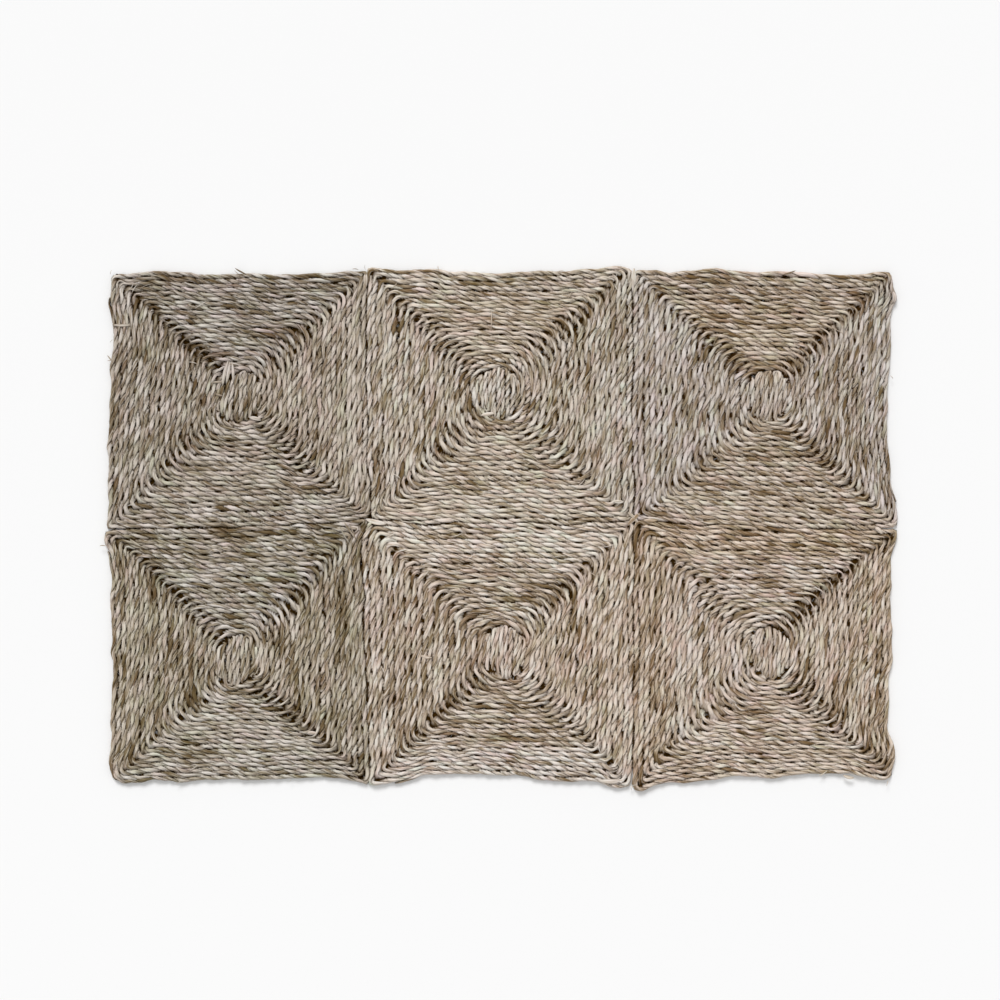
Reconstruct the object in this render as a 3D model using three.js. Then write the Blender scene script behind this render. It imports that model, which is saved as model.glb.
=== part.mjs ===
// A seagrass rug of six square panels. Each panel is one two-ply rope, laid to and fro as a core in
// the panel's middle, then coiled round it out to the edge and sewn turn to turn. The panels are sewn
// edge to edge, three along and two across. The rug lies flat, with X along its long side and Z up.
// All sizes are in millimetres.
import * as THREE from 'three';

// Rope and coil
const ROPE_HEIGHT = 7.2; // from the floor to the crest of a turn
const VALLEY_DEPTH = 2.3; // how far the seam between two turns lies below their crests
const EDGE_HEIGHT = 3.6; // where the outermost turn is at its widest
const FOOT_INSET = 1.6; // how far the outermost turn's underside is drawn in
const TURNS = 20; // rows of rope from the core to the edge
const OUTER_CORNER = 7; // corner radius of the panel's outline
const CORNER_POWER = 0.5; // how the corners sharpen from the core's to the outline's

// Core of each panel, where the rope lies to and fro along Y
const CORE_PASSES = 10; // lengths of rope side by side
const CORE_HALF_WIDTH = 28;
const CORE_HALF_LENGTH = 33;
const HALF_PASS = CORE_HALF_WIDTH / CORE_PASSES;
const CORE_CORNER = 8 * HALF_PASS; // corner radius, in whole half passes
const PASS_END = 3; // length in which a pass rises to its full height

// Rug
const SEAM_GAP = 0.3; // between two panels
const RIM_SHARE = 0.55; // share of a panel's half width that stays square inside its uneven rim

// Nominal edges of the columns, from left to right, and of the rows, from the far side to the near
const COLUMN_EDGES = [-452, -155, 151, 447];
const ROW_EDGES = [294, 3, -290];

// Each panel's place in the rug, how far its core lies off its middle, the corner at which its rope
// ends, and its colour. Corners count clockwise from far left, as seen from above.
const FAR_LEFT = 0;
const NEAR_RIGHT = 2;
const NEAR_LEFT = 3;
const PANELS = [
  { name: 'panel_far_left', column: 0, row: 0, coreX: 3, coreY: 4, tail: FAR_LEFT, colour: 0x9c9182 },
  { name: 'panel_far_middle', column: 1, row: 0, coreX: -5, coreY: 6, tail: NEAR_LEFT, colour: 0xa59c8d },
  { name: 'panel_far_right', column: 2, row: 0, coreX: 6, coreY: 1, tail: NEAR_RIGHT, colour: 0xa1937f },
  { name: 'panel_near_left', column: 0, row: 1, coreX: -1, coreY: -7, tail: FAR_LEFT, colour: 0x9f9582 },
  { name: 'panel_near_middle', column: 1, row: 1, coreX: 2, coreY: 0, tail: NEAR_LEFT, colour: 0xaaa192 },
  { name: 'panel_near_right', column: 2, row: 1, coreX: 5, coreY: 0, tail: NEAR_LEFT, colour: 0xa59781 },
];

// How far each side of the rug stands outside its nominal line, at places along that side
const LEFT_SIDE = [
  { at: -290, out: 0 },
  { at: -270, out: 1 },
  { at: -245, out: -3 },
  { at: -200, out: -1 },
  { at: -160, out: -4 },
  { at: -60, out: -3 },
  { at: -35, out: 0 },
  { at: -10, out: 4 },
  { at: 30, out: 2 },
  { at: 90, out: 3 },
  { at: 125, out: 0 },
  { at: 165, out: -3 },
  { at: 220, out: -5 },
  { at: 260, out: 0 },
  { at: 294, out: 0 },
];
const RIGHT_SIDE = [
  { at: -290, out: 0 },
  { at: -258, out: 4 },
  { at: -225, out: -5 },
  { at: -185, out: -4 },
  { at: -150, out: 0 },
  { at: -60, out: 1 },
  { at: -35, out: 0 },
  { at: -2, out: 8 },
  { at: 28, out: 7 },
  { at: 60, out: 0 },
  { at: 105, out: -5 },
  { at: 140, out: -5 },
  { at: 180, out: -1 },
  { at: 240, out: 1 },
  { at: 266, out: 5 },
  { at: 294, out: 0 },
];
const FAR_SIDE = [
  { at: -452, out: -3 },
  { at: -395, out: 0 },
  { at: -345, out: -3 },
  { at: -210, out: -3 },
  { at: -145, out: 3 },
  { at: -118, out: 1 },
  { at: -98, out: 3 },
  { at: -60, out: 0 },
  { at: 60, out: -1 },
  { at: 95, out: 3 },
  { at: 140, out: 5 },
  { at: 178, out: 2 },
  { at: 198, out: -2 },
  { at: 242, out: 3 },
  { at: 300, out: 0 },
  { at: 380, out: -3 },
  { at: 447, out: 0 },
];
const NEAR_SIDE = [
  { at: -452, out: 2 },
  { at: -435, out: 5 },
  { at: -395, out: 0 },
  { at: -320, out: 1 },
  { at: -190, out: -3 },
  { at: -155, out: 4 },
  { at: -130, out: 4 },
  { at: -80, out: -5 },
  { at: 0, out: -6 },
  { at: 50, out: 0 },
  { at: 110, out: 2 },
  { at: 135, out: 7 },
  { at: 162, out: 8 },
  { at: 200, out: 3 },
  { at: 280, out: -3 },
  { at: 390, out: -5 },
  { at: 447, out: 0 },
];

// How far each seam wanders to the right of its nominal line, or to the far side of it
const LEFT_SEAM = [
  { at: -290, out: 2 },
  { at: -200, out: 0 },
  { at: -90, out: -3 },
  { at: -25, out: -5 },
  { at: 20, out: 4 },
  { at: 90, out: 1 },
  { at: 180, out: -2 },
  { at: 294, out: 0 },
];
const RIGHT_SEAM = [
  { at: -290, out: -2 },
  { at: -150, out: 0 },
  { at: 0, out: 1 },
  { at: 150, out: -1 },
  { at: 294, out: -2 },
];
const CROSS_SEAM = [
  { at: -452, out: -5 },
  { at: -390, out: -5 },
  { at: -300, out: -2 },
  { at: -155, out: 5 },
  { at: -70, out: 1 },
  { at: 60, out: 2 },
  { at: 151, out: 5 },
  { at: 240, out: 0 },
  { at: 340, out: -4 },
  { at: 447, out: -5 },
];

// A row of rope is walked clockwise in quarters, a corner and then a side in each.
const CORNER_SHARE = 0.06;
const SIDE_SHARE = 0.25 - CORNER_SHARE;
// Stations of a quarter on the inner rows, and on the outermost rows and the outline
const COARSE = { corner: 3, side: 4 };
const FINE = { corner: 4, side: 8 };
const FINE_TURNS = 2; // rows inside the outermost one that have fine stations too
const TAIL_STATIONS = 1; // fine stations by which the rope ends before its corner

// The table's value at a place, with a smooth run from row to row
function readTable(table, place) {
  const after = table.findIndex((row) => row.at > place);
  if (after === 0) {
    return table[0].out;
  }
  if (after === -1) {
    return table[table.length - 1].out;
  }
  const low = table[after - 1];
  const high = table[after];
  const share = (place - low.at) / (high.at - low.at);
  return low.out + (high.out - low.out) * THREE.MathUtils.smoothstep(share, 0, 1);
}

// The four nominal sides of a panel, inset where a neighbour is sewn on, and its middle
function panelFrame({ column, row, coreX, coreY }) {
  const [left, right] = [COLUMN_EDGES[column], COLUMN_EDGES[column + 1]];
  const [far, near] = [ROW_EDGES[row], ROW_EDGES[row + 1]];
  const lastColumn = COLUMN_EDGES.length - 2;
  const middle = new THREE.Vector2((left + right) / 2, (far + near) / 2);
  return {
    middle,
    half: new THREE.Vector2((right - left) / 2, (far - near) / 2),
    core: new THREE.Vector2(middle.x + coreX, middle.y + coreY),
    left: left + (column > 0 ? SEAM_GAP / 2 : 0),
    right: right - (column < lastColumn ? SEAM_GAP / 2 : 0),
    far: far - (row > 0 ? SEAM_GAP / 2 : 0),
    near: near + (row === 0 ? SEAM_GAP / 2 : 0),
    leftTable: [LEFT_SIDE, LEFT_SEAM, RIGHT_SEAM][column],
    rightTable: [LEFT_SEAM, RIGHT_SEAM, RIGHT_SIDE][column],
    leftSign: column === 0 ? -1 : 1,
    farTable: row === 0 ? FAR_SIDE : CROSS_SEAM,
    nearTable: row === 0 ? CROSS_SEAM : NEAR_SIDE,
    nearSign: row === 0 ? 1 : -1,
  };
}

// How far a place in the panel follows the uneven side that it lies towards
function rimShare(offset, half) {
  return THREE.MathUtils.smoothstep(Math.abs(offset) / half, RIM_SHARE, 1);
}

// Moves a point of the square panel to where the uneven outline and seams take it
function follow(frame, point) {
  const across = point.x - frame.middle.x;
  const along = point.y - frame.middle.y;
  const sideX = across < 0 ? frame.leftSign * readTable(frame.leftTable, point.y)
    : readTable(frame.rightTable, point.y);
  const sideY = along > 0 ? readTable(frame.farTable, point.x)
    : frame.nearSign * readTable(frame.nearTable, point.x);
  return new THREE.Vector2(
    point.x + rimShare(across, frame.half.x) * sideX,
    point.y + rimShare(along, frame.half.y) * sideY,
  );
}

// A point on a row of rope. reach runs from 0 at the core to 1 at the outline, and turn from 0 to 1
// clockwise from where the tail's corner begins.
function rowPoint(frame, tail, turn, reach) {
  const { core } = frame;
  const between = THREE.MathUtils.lerp;
  const left = between(core.x - CORE_HALF_WIDTH, frame.left, reach);
  const right = between(core.x + CORE_HALF_WIDTH, frame.right, reach);
  const far = between(core.y + CORE_HALF_LENGTH, frame.far, reach);
  const near = between(core.y - CORE_HALF_LENGTH, frame.near, reach);
  const radius = between(OUTER_CORNER, CORE_CORNER, (1 - reach) ** CORNER_POWER);
  const cornersX = [left + radius, right - radius, right - radius, left + radius];
  const cornersY = [far - radius, far - radius, near + radius, near + radius];
  const onArc = (corner, share) => {
    const angle = Math.PI - (Math.PI / 2) * (corner + share);
    const x = cornersX[corner] + radius * Math.cos(angle);
    const y = cornersY[corner] + radius * Math.sin(angle);
    return new THREE.Vector2(x, y);
  };
  const quarter = Math.floor(turn * 4);
  const corner = (tail + quarter) % 4;
  const inQuarter = turn - quarter / 4;
  if (inQuarter <= CORNER_SHARE) {
    return follow(frame, onArc(corner, inQuarter / CORNER_SHARE));
  }
  const start = onArc(corner, 1);
  const end = onArc((corner + 1) % 4, 0);
  return follow(frame, start.lerp(end, (inQuarter - CORNER_SHARE) / SIDE_SHARE));
}

// The places of one turn's stations, from 0 up to but not including 1
function stations({ corner, side }) {
  const places = [];
  for (let quarter = 0; quarter < 4; quarter += 1) {
    for (let step = 0; step < corner; step += 1) {
      places.push(quarter / 4 + (CORNER_SHARE * step) / corner);
    }
    for (let step = 0; step < side; step += 1) {
      places.push(quarter / 4 + CORNER_SHARE + (SIDE_SHARE * step) / side);
    }
  }
  return places;
}

// The turn, from 0 to 1, of the point on the core's outline that lies offset across its middle, on
// the far side or the near one. The walk is from left to right on the far side, and back on the near.
function coreTurn(tail, offset, isFar) {
  const walked = isFar ? offset : -offset;
  const straight = CORE_HALF_WIDTH - CORE_CORNER;
  const cornersOn = ((isFar ? FAR_LEFT : NEAR_RIGHT) - tail + 4) % 4;
  const bend = Math.min((Math.abs(walked) - straight) / CORE_CORNER, 1);
  const quarterBend = Math.PI / 2;
  let turn = cornersOn / 4 + CORNER_SHARE + (SIDE_SHARE * (walked + straight)) / (2 * straight);
  if (walked < -straight) {
    turn = cornersOn / 4 + (CORNER_SHARE * Math.acos(bend)) / quarterBend;
  } else if (walked > straight) {
    turn = (cornersOn + 1) / 4 + (CORNER_SHARE * Math.asin(bend)) / quarterBend;
  }
  return Number(turn.toFixed(6)) % 1;
}

// Joins two lines of points by triangles. Seen from above and walking along them, the outer line is
// on the left, and the triangles face up. Where the lines start or end on one point, it is shared.
function joinLines(inner, outer, triangles) {
  let i = 0;
  let o = 0;
  while (i < inner.length - 1 || o < outer.length - 1) {
    const nextInner = i < inner.length - 1 ? inner[i + 1].at : Infinity;
    const nextOuter = o < outer.length - 1 ? outer[o + 1].at : Infinity;
    const onInner = nextInner < nextOuter;
    const third = onInner ? inner[i + 1].point : outer[o + 1].point;
    if (new Set([inner[i].point, third, outer[o].point]).size === 3) {
      triangles.push(inner[i].point, third, outer[o].point);
    }
    i += onInner ? 1 : 0;
    o += onInner ? 0 : 1;
  }
}

// The core's lines, from left to right: a valley, then a crest and a valley for each pass of rope.
// Returns the points on the core's outline, in the order of their turns.
function addCore(frame, tail, addPoint, triangles) {
  const outline = [];
  const lines = [];
  const endPoint = (offset, isFar) => {
    const at = coreTurn(tail, offset, isFar);
    const place = rowPoint(frame, tail, at, 0);
    const point = addPoint(place, ROPE_HEIGHT - VALLEY_DEPTH);
    outline.push({ at, point });
    return { place, point };
  };
  for (let line = 0; line <= 2 * CORE_PASSES; line += 1) {
    const offset = -CORE_HALF_WIDTH + line * HALF_PASS;
    const [near, far] = [endPoint(offset, false), endPoint(offset, true)];
    const points = [{ at: near.place.y, point: near.point }, { at: far.place.y, point: far.point }];
    if (line % 2 === 1) {
      const crest = [near.place.y + PASS_END, far.place.y - PASS_END].map((y) => (
        { at: y, point: addPoint({ x: near.place.x, y }, ROPE_HEIGHT) }
      ));
      points.splice(1, 0, ...crest);
    }
    lines.push(points);
  }
  lines.slice(1).forEach((points, index) => joinLines(points, lines[index], triangles));
  outline.sort((a, b) => a.at - b.at);
  return [...outline, { at: 1, point: outline[0].point }];
}

// One panel: its core, then a spiral of crests with a spiral of valleys between them, a rim and a
// flat underside
function panelGeometry(panel) {
  const frame = panelFrame(panel);
  const positions = [];
  const triangles = [];
  const addPoint = ({ x, y }, z) => positions.push(x, y, z) / 3 - 1;
  const coilPoint = (turns, rowsIn, z) => {
    const turn = turns % 1;
    return addPoint(rowPoint(frame, panel.tail, turn, (turns - rowsIn) / (TURNS + turn)), z);
  };
  const coarse = stations(COARSE);
  const fine = stations(FINE);
  const turnsOf = (places, count) => places.map((place) => count + place);

  // The outline, from the corner where the rope ends and round to it again
  const rimPoints = fine.map((turn) => rowPoint(frame, panel.tail, turn, 1));
  const rim = rimPoints.map((point, index) => (
    { at: TURNS + fine[index], point: addPoint(point, EDGE_HEIGHT) }
  ));
  const tailPoint = rim[0].point;

  // The valleys start on the core's outline and end at the tail's corner of the panel's
  const core = addCore(frame, panel.tail, addPoint, triangles);
  const coilTurns = core.slice(0, -1).map(({ at }) => at);
  for (let count = 1; count < TURNS; count += 1) {
    coilTurns.push(...turnsOf(count < TURNS - FINE_TURNS ? coarse : fine, count));
  }
  const valleys = coilTurns.filter((turns) => turns > 0).map((turns) => (
    { at: turns, point: coilPoint(turns, 0, ROPE_HEIGHT - VALLEY_DEPTH) }
  ));
  valleys.unshift(core[0]);
  valleys.push({ at: TURNS, point: tailPoint });

  // The crests start on it half a turn further
  const crestTurns = [...coilTurns, ...turnsOf(fine.slice(0, -TAIL_STATIONS), TURNS)];
  const crests = crestTurns.filter((turns) => turns > 0.5).map((turns) => (
    { at: turns, point: coilPoint(turns, 0.5, ROPE_HEIGHT) }
  ));
  crests.unshift(core.find(({ at }) => at === 0.5));

  // From the core's outline to the first half turn of valleys, and then to that of crests
  joinLines(core.filter(({ at }) => at <= 0.5), valleys.filter(({ at }) => at <= 0.5), triangles);
  joinLines(core.filter(({ at }) => at >= 0.5), crests.filter(({ at }) => at <= 1), triangles);

  // Each crest falls to the valley outside it, the last one to the outline
  const outside = [...valleys.filter(({ at }) => at >= 0.5 && at < TURNS), ...rim];
  outside.push({ at: TURNS + 1, point: tailPoint });
  joinLines(crests, outside, triangles);

  // Each valley rises to the crest outside it, one turn further on
  const inside = valleys.map(({ at, point }) => ({ at: at + 1, point }));
  joinLines(inside, crests.filter(({ at }) => at >= 1), triangles);

  // The rim's lower half and the flat underside
  const bottomMiddle = addPoint(frame.core, 0);
  const feet = rimPoints.map((point) => {
    const inward = frame.core.clone().sub(point);
    return addPoint(point.clone().addScaledVector(inward, FOOT_INSET / inward.length()), 0);
  });
  rim.forEach(({ point: high }, index) => {
    const next = (index + 1) % rim.length;
    triangles.push(high, rim[next].point, feet[next]);
    triangles.push(high, feet[next], feet[index]);
    triangles.push(feet[index], feet[next], bottomMiddle);
  });

  const geometry = new THREE.BufferGeometry();
  geometry.setAttribute('position', new THREE.Float32BufferAttribute(positions, 3));
  geometry.setIndex(triangles);
  geometry.computeVertexNormals();
  return geometry;
}

function makePanel(panel) {
  const material = new THREE.MeshStandardMaterial({
    color: panel.colour,
    roughness: 0.85,
    metalness: 0,
  });
  const mesh = new THREE.Mesh(panelGeometry(panel), material);
  mesh.name = panel.name;
  return mesh;
}

// The rug's origin is the middle of its underside
function makeRug() {
  const rug = new THREE.Group();
  PANELS.forEach((panel) => rug.add(makePanel(panel)));
  const middle = new THREE.Box3().setFromObject(rug).getCenter(new THREE.Vector3());
  rug.position.set(-middle.x, -middle.y, 0);
  return rug;
}

export default makeRug();
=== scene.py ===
import math
from collections import namedtuple

import bpy
import numpy as np
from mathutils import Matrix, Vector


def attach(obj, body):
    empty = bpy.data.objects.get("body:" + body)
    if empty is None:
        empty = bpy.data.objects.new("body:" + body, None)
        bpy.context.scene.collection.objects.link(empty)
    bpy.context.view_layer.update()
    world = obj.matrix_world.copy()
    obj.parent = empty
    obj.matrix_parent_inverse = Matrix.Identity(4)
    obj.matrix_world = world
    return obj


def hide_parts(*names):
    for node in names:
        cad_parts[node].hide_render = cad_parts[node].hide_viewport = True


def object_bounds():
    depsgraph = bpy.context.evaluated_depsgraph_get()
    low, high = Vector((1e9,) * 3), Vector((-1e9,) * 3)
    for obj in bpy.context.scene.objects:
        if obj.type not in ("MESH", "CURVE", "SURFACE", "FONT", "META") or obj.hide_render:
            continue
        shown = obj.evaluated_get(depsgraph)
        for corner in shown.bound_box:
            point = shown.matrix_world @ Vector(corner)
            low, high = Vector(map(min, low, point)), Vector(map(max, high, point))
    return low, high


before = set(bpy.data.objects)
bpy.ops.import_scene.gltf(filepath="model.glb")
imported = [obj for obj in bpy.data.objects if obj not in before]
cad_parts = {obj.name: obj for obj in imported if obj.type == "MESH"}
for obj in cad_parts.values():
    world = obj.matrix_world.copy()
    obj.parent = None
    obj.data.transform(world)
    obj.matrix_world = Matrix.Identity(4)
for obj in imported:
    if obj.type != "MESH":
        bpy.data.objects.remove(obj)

MM = 0.001
CAD_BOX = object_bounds()

# Rows of rope
TURNS = 20  # rows from the core to the edge
SEAM_GAP = 0.3  # between two panels
SEAM_PINCH = 0.08  # share by which the outermost row is narrower
RIM_SHARE = 0.55  # share of a panel's half width that stays square inside its uneven rim
COIL_START = -0.05  # turns walked where the coil comes out from under the core
COIL_RISE = 0.07  # turns that it takes to come up from there
TAIL_START = 0.95  # part of the last turn at which the rope begins to thin out to its end
TAIL_THINNEST = 0.2  # and its width at that end, in rows
TAIL_BARE = 0.03  # part of a turn over which it is too thin to hide the row inside it

# Core, inside those rows
CORE_PASSES = 10  # lengths of rope side by side
CORE_HALF_WIDTH = 28
CORE_HALF_LENGTH = 33
CORE_BOW = 0.11  # share by which the passes draw together at their ends
BEND_ROOM = 3.6  # how far a pass turns back before the coil
BEND_DIP = 0.5  # share of the rope's height that its bends keep
BEND_HEIGHT = 0.75  # and the share where a pass runs into its bend
BEND_REACH = 6.0  # length of a pass over which it dips towards its bend
FREE_END = 3.0  # how much further the rope's two ends run

# Corners that the rows turn
CORE_CORNER = 4 * 2 * CORE_HALF_WIDTH / CORE_PASSES  # radius at the core, four passes wide
OUTER_CORNER = 4  # and at a panel's outline
CORNER_POWER = 2.3  # how the corners sharpen towards the outline
CORNER_SHARE = 0.06  # part of a turn that one corner takes
QUARTER = 1 / 4  # of a turn, from one corner to the next
SIDE_SHARE = QUARTER - CORNER_SHARE
CORNER_LENGTH = 0.05  # part of a turn on each side of a corner over which the rope is narrower
CORNER_SHADE = 1.2  # how much darker it is painted there, as shade of its open gaps, for the share that it is narrower
CORNER_FADE = 7  # turns over which that narrowing grows to the full
CORE_PINCH = 0.33  # from this share of it at the core

# Rope section. Each strand's own middle stands off the rope's, and its section is an oval that is
# wider across than it is thick. Its measures are in rope radii, and those come first.
ROPE_HALF_HEIGHT = 3.5
ROPE_HALF_WIDTH = 3.1
STRAND_OFF_ACROSS = 0.41
STRAND_OFF_UP = 0.46
STRAND_THICK = 0.40
STRAND_WIDE = 0.80  # as it passes over the top
STRAND_PINCHED = 0.60  # and where it crosses the other strand
FOOT_OVERLAP = 0.35  # how far its lower side reaches over to the other strand's there
DWELL = 0.18  # how much longer it stays on the top than it takes to cross
LAY = 31.6  # length in which a strand goes once round the rope

# How the rope lies between its neighbours and on the floor
TIGHTEST = 0.84  # how far neighbours may squeeze the rope's width
LOOSEST = 0.93  # and how far it spreads where they leave it room
NESTING = 1.05  # rows press into one another by this much of their width
FLATTEST = 0.4  # squeeze beyond which the rope gets no lower
LOWEST = 0.05  # height that its underside keeps over the floor
UNDERSIDE_REACH = 1.95  # how many times its room the pressed underside takes, into the next row
CORNER_REACH = 2.2  # and how much more where the rope is narrower
LONGEST_REACH = 2.6  # at most
RIM_BAND = 22  # width along the rug's edge where nothing lies beside the outer row
RIM_FULLER = 0.6  # how far that row keeps its width round a corner

# Shade of the rope's tone, from place to place
CORE_SHADE = 0.75  # how much paler the core is
INNER_ROWS_FROM = 0.3  # share of the way to a panel's edge at which the inner rows' is reached
OUTER_ROWS_FROM = 0.68  # and at which the outer rows' begins
OUTER_ROWS_FADE = 0.15
SIDES_FADE = 0.08  # share of the panel's half width over which two sides' shades meet
# Painted shade, with dust, on what lies deep between the strands
END_SHADE = 0.08  # painted shade on a strand where it dips under the other
CROSSING_SHADE = 0.15  # and its sides there, as a share of how dark they are elsewhere
OPEN_PINCH = 0.12  # pinch from which a corner's gaps lie open, and are as dark all along

# Samples
STEP = 2.9  # between two rings of a strand's mesh
SECTION_CORNERS = 7  # of each ring
PATH_SAMPLES = 720  # points worked out for each turn before the rope is stepped off
BEND_POINTS = 12  # round a bend of the core
PASS_POINTS = 30  # along one of its passes
RIM_SAMPLES = 240  # round a panel's outline
LAST_TURN = 0.999  # the last place of a turn that still counts to it
PATCH_CELLS = 120  # size of the grid behind each patchy value
SPARE = 3  # random values drawn beyond a line's whole steps
FIBRE_RADIUS = 1.6  # of the strand, in the coordinates that the leaf's streaks follow
STRAND_OFFSET = 40000  # keeps the streaks of one strand from another's

# Nominal edges of the columns, from left to right, and of the rows, from the far side to the near
COLUMN_EDGES = [-452, -155, 151, 447]
ROW_EDGES = [294, 3, -290]

# Corners count clockwise from far left, as seen from above
FAR_LEFT, FAR_RIGHT, NEAR_RIGHT, NEAR_LEFT = range(4)
Panel = namedtuple("Panel", "name slot column row core_x core_y tail core_warmth")
PANELS = [
    Panel("panel_far_left", "greyed_seagrass", 0, 0, 3, 4, tail=FAR_LEFT, core_warmth=0.15),
    Panel("panel_far_middle", "silver_seagrass", 1, 0, -5, 6, tail=NEAR_LEFT, core_warmth=0.05),
    Panel("panel_far_right", "tan_seagrass", 2, 0, 6, 1, tail=NEAR_RIGHT, core_warmth=-0.3),
    Panel("panel_near_left", "olive_seagrass", 0, 1, -1, -7, tail=FAR_LEFT, core_warmth=0.15),
    Panel("panel_near_middle", "pale_seagrass", 1, 1, 2, 0, tail=NEAR_LEFT, core_warmth=0.5),
    Panel("panel_near_right", "warm_seagrass", 2, 1, 5, 0, tail=NEAR_LEFT, core_warmth=-0.15),
]

# Share by which the rope is narrower as it turns each corner of a panel
Corners = namedtuple("Corners", "far_left far_right near_right near_left")
CORNER_PINCH = {
    "panel_far_left": Corners(0.68, 0.15, 0.13, 0.08),
    "panel_far_middle": Corners(0.28, 0.13, 0.05, 0.09),
    "panel_far_right": Corners(0.16, 0.54, 0.14, 0.03),
    "panel_near_left": Corners(0.44, 0.11, 0.46, 0.03),
    "panel_near_middle": Corners(0.00, 0.11, 0.08, 0.24),
    "panel_near_right": Corners(0.00, 0.72, 0.37, 0.00),
}

# How fast the corner radius grows outwards from the core, before it shrinks to the outline's
CORNER_ROUNDING = {
    "panel_far_left": Corners(-10, 120, 100, 120),
    "panel_far_middle": Corners(110, 190, 160, 140),
    "panel_far_right": Corners(60, 40, 50, 100),
    "panel_near_left": Corners(20, 120, 40, 90),
    "panel_near_middle": Corners(80, 70, 120, 40),
    "panel_near_right": Corners(150, 30, 100, 140),
}

# How much paler the rope of one side of a panel is than the panel, near the core and at the edge,
# and how much warmer in colour
Shade = namedtuple("Shade", "inner outer warm_inner warm_outer")
FAR, RIGHT, NEAR, LEFT = range(4)
SHADES = {
    "panel_far_left": {
        FAR: Shade(-0.2, -0.4, -0.3, -0.3),
        RIGHT: Shade(0.6, 0.9, 0.3, 0.3),
        NEAR: Shade(0.2, 0.3, 0.0, -0.1),
        LEFT: Shade(-0.2, 0.3, 0.0, 0.0),
    },
    "panel_far_middle": {
        FAR: Shade(0.0, 0.1, 0.5, 0.2),
        RIGHT: Shade(0.1, 0.3, 0.2, 0.0),
        NEAR: Shade(0.2, 0.7, 0.4, 0.4),
        LEFT: Shade(0.2, 0.0, 0.2, 0.1),
    },
    "panel_far_right": {
        FAR: Shade(-0.2, -0.3, 0.4, 0.0),
        RIGHT: Shade(-0.3, 0.2, -0.3, -0.5),
        NEAR: Shade(-0.2, 0.6, 0.1, 0.2),
        LEFT: Shade(0.6, 0.9, -0.4, -0.4),
    },
    "panel_near_left": {
        FAR: Shade(0.2, -0.6, -0.4, -0.3),
        RIGHT: Shade(0.2, -0.2, 0.2, 0.1),
        NEAR: Shade(0.7, 0.3, -0.2, -0.3),
        LEFT: Shade(-0.1, 0.1, 0.1, 0.2),
    },
    "panel_near_middle": {
        FAR: Shade(-0.2, 1.0, 0.1, 0.2),
        RIGHT: Shade(0.1, 0.7, 0.5, 0.5),
        NEAR: Shade(-0.4, 1.0, 0.1, -0.1),
        LEFT: Shade(-0.4, 0.1, 0.3, 0.2),
    },
    "panel_near_right": {
        FAR: Shade(0.2, -0.4, -0.2, 0.3),
        RIGHT: Shade(0.2, -0.5, 0.0, 0.1),
        NEAR: Shade(0.5, 0.2, -0.1, -0.1),
        LEFT: Shade(0.8, -0.2, -0.1, 0.2),
    },
}

# How far each side of the rug stands outside its nominal line, at places along that side
Edge = namedtuple("Edge", "at out")
LEFT_SIDE = [
    Edge(-290, 0),
    Edge(-270, 1),
    Edge(-245, -3),
    Edge(-200, -1),
    Edge(-160, -4),
    Edge(-60, -3),
    Edge(-35, 0),
    Edge(-10, 4),
    Edge(30, 2),
    Edge(90, 3),
    Edge(125, 0),
    Edge(165, -3),
    Edge(220, -5),
    Edge(260, 0),
    Edge(294, 0),
]
RIGHT_SIDE = [
    Edge(-290, 0),
    Edge(-258, 4),
    Edge(-225, -5),
    Edge(-185, -4),
    Edge(-150, 0),
    Edge(-60, 1),
    Edge(-35, 0),
    Edge(-2, 8),
    Edge(28, 7),
    Edge(60, 0),
    Edge(105, -5),
    Edge(140, -5),
    Edge(180, -1),
    Edge(240, 1),
    Edge(266, 5),
    Edge(294, 0),
]
FAR_SIDE = [
    Edge(-452, -3),
    Edge(-395, 0),
    Edge(-345, -3),
    Edge(-210, -3),
    Edge(-145, 3),
    Edge(-118, 1),
    Edge(-98, 3),
    Edge(-60, 0),
    Edge(60, -1),
    Edge(95, 3),
    Edge(140, 5),
    Edge(178, 2),
    Edge(198, -2),
    Edge(242, 3),
    Edge(300, 0),
    Edge(380, -3),
    Edge(447, 0),
]
NEAR_SIDE = [
    Edge(-452, 2),
    Edge(-435, 5),
    Edge(-395, 0),
    Edge(-320, 1),
    Edge(-190, -3),
    Edge(-155, 4),
    Edge(-130, 4),
    Edge(-80, -5),
    Edge(0, -6),
    Edge(50, 0),
    Edge(110, 2),
    Edge(135, 7),
    Edge(162, 8),
    Edge(200, 3),
    Edge(280, -3),
    Edge(390, -5),
    Edge(447, 0),
]
LEFT_SEAM = [
    Edge(-290, 2),
    Edge(-200, 0),
    Edge(-90, -3),
    Edge(-25, -5),
    Edge(20, 4),
    Edge(90, 1),
    Edge(180, -2),
    Edge(294, 0),
]
RIGHT_SEAM = [
    Edge(-290, -2),
    Edge(-150, 0),
    Edge(0, 1),
    Edge(150, -1),
    Edge(294, -2),
]
CROSS_SEAM = [
    Edge(-452, -5),
    Edge(-390, -5),
    Edge(-300, -2),
    Edge(-155, 5),
    Edge(-70, 1),
    Edge(60, 2),
    Edge(151, 5),
    Edge(240, 0),
    Edge(340, -4),
    Edge(447, -5),
]


def smooth(share):
    share = np.clip(share, 0, 1)
    return share * share * (3 - 2 * share)


def between(start, end, share):
    return start + (end - start) * share


def ramp(value, start, end):
    """A smooth run from 0 where the value is at start to 1 where it is at end."""
    return smooth((value - start) / (end - start))


def read_table(table, places):
    """The table's values at places, with a smooth run from row to row."""
    at = np.array([row.at for row in table], float)
    out = np.array([row.out for row in table], float)
    low = np.clip(np.searchsorted(at, places, side="right") - 1, 0, len(at) - 2)
    return between(out[low], out[low + 1], ramp(places, at[low], at[low + 1]))


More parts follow.
